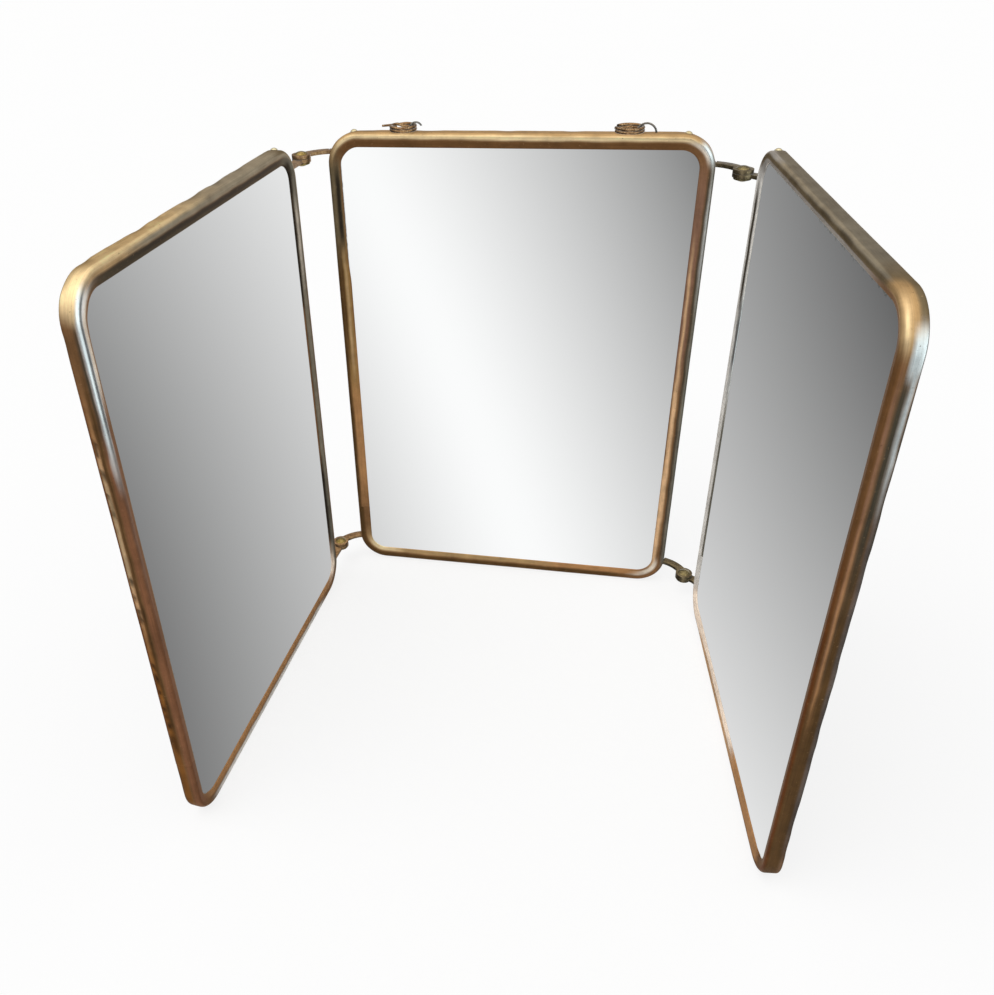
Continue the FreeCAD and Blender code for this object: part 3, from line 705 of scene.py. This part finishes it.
def old_brass(name, dark, light, bright, rough):
    """Brass left to the air, lighter and warmer where it is handled, with painted shade in its
    hollows and where it meets other pieces.
    """
    material, tree = new_material(name)
    place = add(tree, "TexCoord").outputs["Object"]
    clouds = add(tree, "TexNoise", {"Vector": place, "Scale": 1 / tarnish_size, "Detail": 5.0,
                                    "Roughness": 0.65}).outputs["Fac"]
    grain = add(tree, "TexNoise", {"Vector": place, "Scale": 1 / brass_grain,
                                   "Detail": 2.0}).outputs["Fac"]
    spread = add(tree, "MapRange", {"Value": clouds, "From Min": 0.35,
                                    "From Max": 0.65}).outputs["Result"]
    colour = add(tree, "MixRGB", {"Fac": spread, "Color1": linear(dark),
                                  "Color2": linear(light)}).outputs["Color"]
    rubbed = add(tree, "MapRange", {"Value": grain, "From Min": 0.5, "From Max": 0.8,
                                    "To Max": 0.6}).outputs["Result"]
    colour = add(tree, "MixRGB", {"Fac": rubbed, "Color1": colour,
                                  "Color2": linear(bright)}).outputs["Color"]
    # Painted shade: the colour darkens in hollows and beside other pieces
    openness = add(tree, "AmbientOcclusion", {"Distance": painted_shade_reach},
                   samples=painted_shade_samples).outputs["AO"]
    crevice_shade = add(tree, "MapRange", {"Value": openness, "From Min": 0.35, "From Max": 0.85,
                                   "To Min": 0.12}).outputs["Result"]
    colour = add(tree, "VectorMath", {0: colour, "Scale": crevice_shade}, operation="SCALE").outputs[0]
    bump = add(tree, "Bump", {"Strength": 0.12, "Distance": grain_depth,
                              "Height": grain}).outputs["Normal"]
    skin = add(tree, "BsdfPrincipled", {"Base Color": colour, "Metallic": 1.0, "Roughness": rough,
                                        "Normal": bump}).outputs["BSDF"]
    add(tree, "OutputMaterial", {"Surface": skin})
    return material


strap_metals = {"left": old_brass("hinge_strap_brass", "#7A5C3C", "#C09A72", "#E0BE94", 0.38),
                "right": old_brass("hinge_strap_dull_brass", "#584C3A", "#8E8064", "#C0AE88", 0.38)}
rivet_metals = {"left": old_brass("hinge_rivet_brass", "#5E4E26", "#AC9456", "#F0DCA8", 0.3),
                "right": old_brass("hinge_rivet_dull_brass", "#4E4632", "#988A62", "#E0D0A0", 0.3)}
# The frame rivets' pale brass is partly their colour and partly a painted highlight
bright_rivet = old_brass("frame_rivet_brass", "#C8B88C", "#F0EACC", "#FFF8E4", 0.28)
for node, piece in frame["nodes"].items():
    body = piece["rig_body"]
    side = "left" if "left" in node else "right"
    if "_strap_" in node:
        place_piece(node + "_worn", softened(node, edge_softness), strap_metals[side], body,
                    "hinge_brass", node)
    elif node.startswith(("hinge_rivet", "hinge_washer")):
        place_piece(node + "_worn", softened(node, edge_softness), rivet_metals[side], body,
                    "rivet_brass", node)
    elif node.endswith("_frame_rivets"):
        place_piece(node + "_worn", softened(node, edge_softness / 2), bright_rivet, body,
                    "worn_nickel_brass", node)

# ---------------------------------------------------------------- Ring staples and hanging rings
# Drawn brass wire. Each staple is a thin arch let into the frame's top wall; each ring is a
# split ring of two close turns, and the left one's loose end runs out as a tail.

# The wire's thickness, the rise from one turn to the next, and how finely it is drawn round and
# along
ring_wire = 1.4 * mm
turn_pitch = 1.3 * mm
wire_sides = 5
wire_smoothness = 4

# The winding, in degrees: the whole of it, where it ends on each ring, how far before its end
# the wire climbs to the upper turn, and how long the climb takes
winding = 674
winding_ends = {"left": 450, "right": 510}
climb_before = 356
climb_turn = 40
winding_steps = 96

# The left ring's loose end: how far it runs out, drops and sways, and how thin its tip is
tail_reach = 11.5 * mm
tail_drop = 1.2 * mm
tail_sway = 0.35 * mm
tail_tip = 1.0 * mm
tail_steps = 8


def split_ring(side):
    """Two turns of wire with a jog where the lower turn climbs to the upper one."""
    node = side + "_hanging_ring"
    low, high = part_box(node)
    radius = (high.y - low.y - ring_wire) / 2
    centre = Vector((high.x - ring_wire / 2 - radius, (low.y + high.y) / 2, low.z + ring_wire / 2))
    last = winding_ends[side]
    first = last - winding
    curve = bpy.data.curves.new(node, "CURVE")
    curve.dimensions = "3D"
    curve.bevel_depth = ring_wire / 2
    curve.bevel_resolution = wire_sides
    curve.resolution_u = wire_smoothness
    curve.use_fill_caps = True
    spline = curve.splines.new("NURBS")
    points = []
    for step in range(winding_steps + 1):
        turn = first + winding * step / winding_steps
        climb = max(0.0, min(1.0, (turn - (last - climb_before)) / climb_turn))
        height = turn_pitch * climb * climb * (3 - 2 * climb)
        across = Vector((math.cos(math.radians(turn)), math.sin(math.radians(turn)), 0))
        points.append((centre + across * radius + Vector((0, 0, height)), 1.0))
    if side == "left":
        root = points[-1][0]
        for step in range(1, tail_steps + 1):
            share = step / tail_steps
            thin = 1 - share * (1 - tail_tip / ring_wire)
            sway = math.sin(share * math.pi) * tail_sway
            points.append((root + Vector((-tail_reach * share, -sway, -tail_drop * share)), thin))
    spline.points.add(len(points) - 1)
    for point, (place, thickness) in zip(spline.points, points):
        point.co = (*place, 1.0)
        point.radius = thickness
    spline.order_u = 3
    spline.use_endpoint_u = True
    drawn = bpy.data.objects.new(node, curve)
    bpy.context.scene.collection.objects.link(drawn)
    bpy.context.view_layer.update()
    mesh = bpy.data.meshes.new_from_object(drawn)
    bpy.data.objects.remove(drawn)
    mesh.shade_smooth()
    return mesh


ring_metal = old_brass("ring_wire_brass", "#5E4228", "#B08A60", "#FFE8C4", 0.22)
staple_metal = old_brass("staple_wire_brass", "#4E4A42", "#86807A", "#C8C8C0", 0.26)
for side in ("left", "right"):
    node = side + "_hanging_ring"
    place_piece(node + "_wire", split_ring(side), ring_metal, side + "_hanger", "ring_wire", node)
    staple = frame["nodes"][side + "_ring_staple"]
    staple.data.materials[0] = staple_metal
    staple.visible_glossy = False

# ---------------------------------------------------------------- Studio
# A plain pale floor under an even sky of light, with one broad soft lamp high on the left.
# The mirrors and the metal see a soft surround of their own, bright above and to the right.

# The floor's half side, how much of it glows like white paper to the camera, and the size of
# the board's mottling: six to the metre
floor_reach = 12.0
paper_share = 0.8
board_mottle = 1 / 6.0
white = (1, 1, 1, 1)


def pale_floor():
    """Smooth matt white board."""
    material, tree = new_material("pale_floor")
    place = add(tree, "TexCoord").outputs["Object"]
    mottle = add(tree, "TexNoise", {"Vector": place, "Scale": 1 / board_mottle,
                                    "Detail": 2.0}).outputs["Fac"]
    colour = add(tree, "MixRGB", {"Fac": mottle, "Color1": linear("#FCFCFC"),
                                  "Color2": linear("#FFFFFF")}).outputs["Color"]
    skin = add(tree, "BsdfPrincipled", {"Base Color": colour, "Roughness": 0.9}).outputs["BSDF"]
    seen = add(tree, "LightPath").outputs["Is Camera Ray"]
    share = add(tree, "Math", {0: seen, 1: paper_share}, operation="MULTIPLY").outputs[0]
    paper = add(tree, "Emission", {"Color": white, "Strength": 1.0}).outputs["Emission"]
    both = add(tree, "MixShader", {0: share, 1: skin, 2: paper}).outputs["Shader"]
    add(tree, "OutputMaterial", {"Surface": both})
    return material


floor_mesh = bpy.data.meshes.new("floor")
corners = [(x * floor_reach, y * floor_reach, 0) for x, y in ((-1, -1), (1, -1), (1, 1), (-1, 1))]
floor_mesh.from_pydata(corners, [], [(0, 1, 2, 3)])
floor_mesh.materials.append(pale_floor())
floor = bpy.data.objects.new("floor", floor_mesh)
bpy.context.scene.collection.objects.link(floor)
floor.visible_glossy = False

# The surround's brightness: at the darkest and brightest of its level part, overhead at the edge
# and in the middle, and in a cool broad window on the right; then what matt pieces are lit by
surround_low = (0.11, 0.11, 0.11, 1)
surround_high = (1.04, 1.04, 1.04, 1)
overhead_edge = (0.42, 0.4, 0.37, 1)
overhead_middle = (1.3, 1.24, 1.12, 1)
cool_window = (1.15, 1.25, 1.27, 1)
even_light = (0.62, 0.62, 0.62, 1)

# The ridge of light ahead: its softness, its peak, how it falls off and how it leans
ridge_softness = 0.0016
ridge_peak = 1.132
ridge_fall = -3.037
ridge_lean = 0.185

world = bpy.data.worlds.new("studio")
bpy.context.scene.world = world
world.use_nodes = True
sky = world.node_tree
sky.nodes.clear()
heading = add(sky, "TexCoord").outputs["Generated"]


def slope_light(base, slope):
    """Brightness that changes evenly with direction."""
    lean = add(sky, "VectorMath", {0: heading, 1: Vector(slope)}, operation="DOT_PRODUCT")
    return add(sky, "Math", {0: lean.outputs["Value"], 1: base}, operation="ADD").outputs[0]


def facing(direction, start, end):
    """How far a heading lies towards a direction, from 0 to 1 between two cosines."""
    lean = add(sky, "VectorMath", {0: heading, 1: Vector(direction).normalized()},
               operation="DOT_PRODUCT").outputs["Value"]
    return add(sky, "MapRange", {"Value": lean, "From Min": start, "From Max": end},
               interpolation_type="SMOOTHSTEP").outputs["Result"]


# Ahead: a soft ridge of light that leans to the left; behind left and right: plain slopes
ridge = slope_light(0.346, (0.883, 0.0, 0.469))
ridge_round = add(sky, "Math", {0: ridge, 1: ridge, 2: ridge_softness},
                  operation="MULTIPLY_ADD").outputs[0]
ridge_round = add(sky, "Math", {0: ridge_round, 1: 0.5}, operation="POWER").outputs[0]
ahead = add(sky, "Math", {0: ridge_round, 1: ridge_fall, 2: ridge_peak},
            operation="MULTIPLY_ADD").outputs[0]
ahead = add(sky, "Math", {0: ridge, 1: ridge_lean, 2: ahead}, operation="MULTIPLY_ADD").outputs[0]
behind_right = slope_light(1.758, (-2.017, 0.255, 1.048))
behind_left = slope_light(1.817, (2.152, -0.935, -0.191))
level_light = add(sky, "MixRGB", {"Fac": facing((1, 0, 0), -0.2, 0.2), "Color1": behind_left,
                                  "Color2": behind_right}).outputs["Color"]
level_light = add(sky, "MixRGB", {"Fac": facing((0, -1, 0), -0.2, 0.2), "Color1": level_light,
                                  "Color2": ahead}).outputs["Color"]
level_light = add(sky, "MixRGB", {"Fac": 1.0, "Color1": level_light, "Color2": surround_low},
                  blend_type="LIGHTEN").outputs["Color"]
level_light = add(sky, "MixRGB", {"Fac": 1.0, "Color1": level_light, "Color2": surround_high},
                  blend_type="DARKEN").outputs["Color"]

# Overhead, and the window on the right
high_light = add(sky, "MixRGB", {"Fac": facing((0, -0.25, 1), 0.15, 0.95),
                                 "Color1": overhead_edge,
                                 "Color2": overhead_middle}).outputs["Color"]
surround = add(sky, "MixRGB", {"Fac": facing((0, 0, 1), 0.0, 0.22), "Color1": level_light,
                               "Color2": high_light}).outputs["Color"]
surround = add(sky, "MixRGB", {"Fac": facing((0.8, -0.55, 0.0), 0.78, 0.93),
                               "Color1": surround, "Color2": cool_window}).outputs["Color"]

# Mirrors and metal see the surround, matt pieces an even grey-white, and the camera white
path = add(sky, "LightPath")
seen = add(sky, "MixRGB", {"Fac": path.outputs["Is Glossy Ray"], "Color1": even_light,
                           "Color2": surround}).outputs["Color"]
seen = add(sky, "MixRGB", {"Fac": path.outputs["Is Camera Ray"], "Color1": seen,
                           "Color2": white}).outputs["Color"]
light = add(sky, "Background", {"Color": seen, "Strength": 1.0}).outputs["Background"]
add(sky, "OutputWorld", {"Surface": light})

lamp_from = Vector((-0.45, -0.35, 1.0))
lamp = bpy.data.lights.new("broad_lamp", "SUN")
lamp.energy = 1.25
lamp.angle = math.radians(50)
lamp_stand = bpy.data.objects.new("broad_lamp", lamp)
bpy.context.scene.collection.objects.link(lamp_stand)
lamp_stand.rotation_euler = lamp_from.to_track_quat("Z", "Y").to_euler()
lamp_stand.visible_glossy = False

# The camera looks down on the open mirror from in front and a little to the right. The image's
# width and height, the focal length and the middle of the view are in pixels.
image_width = 994
image_height = 995
focal_pixels = 923.12
principal_point = (422.45, 479.87)
camera_place = Vector((47.46, -441.51, 344.56)) * mm
camera_yaw = math.radians(-12.53)
camera_pitch = math.radians(32.52)
camera_roll = math.radians(-2.43)
forward = Vector((math.sin(camera_yaw) * math.cos(camera_pitch),
                  math.cos(camera_yaw) * math.cos(camera_pitch), -math.sin(camera_pitch)))
level = Vector((math.cos(camera_yaw), -math.sin(camera_yaw), 0))
upright = level.cross(forward)
right = level * math.cos(camera_roll) + upright * math.sin(camera_roll)
up = upright * math.cos(camera_roll) - level * math.sin(camera_roll)
lens = bpy.data.cameras.new("camera")
lens.sensor_width = 36.0
lens.lens = focal_pixels / image_height * lens.sensor_width
lens.shift_x = (image_width / 2 - principal_point[0]) / image_height
lens.shift_y = (principal_point[1] - image_height / 2) / image_height
lens.clip_start = 0.01
camera = bpy.data.objects.new("camera", lens)
bpy.context.scene.collection.objects.link(camera)
aim = Matrix((right, up, -forward)).transposed().to_4x4()
camera.matrix_world = Matrix.Translation(camera_place) @ aim
bpy.context.scene.camera = camera
bpy.context.scene.view_settings.view_transform = "Standard"
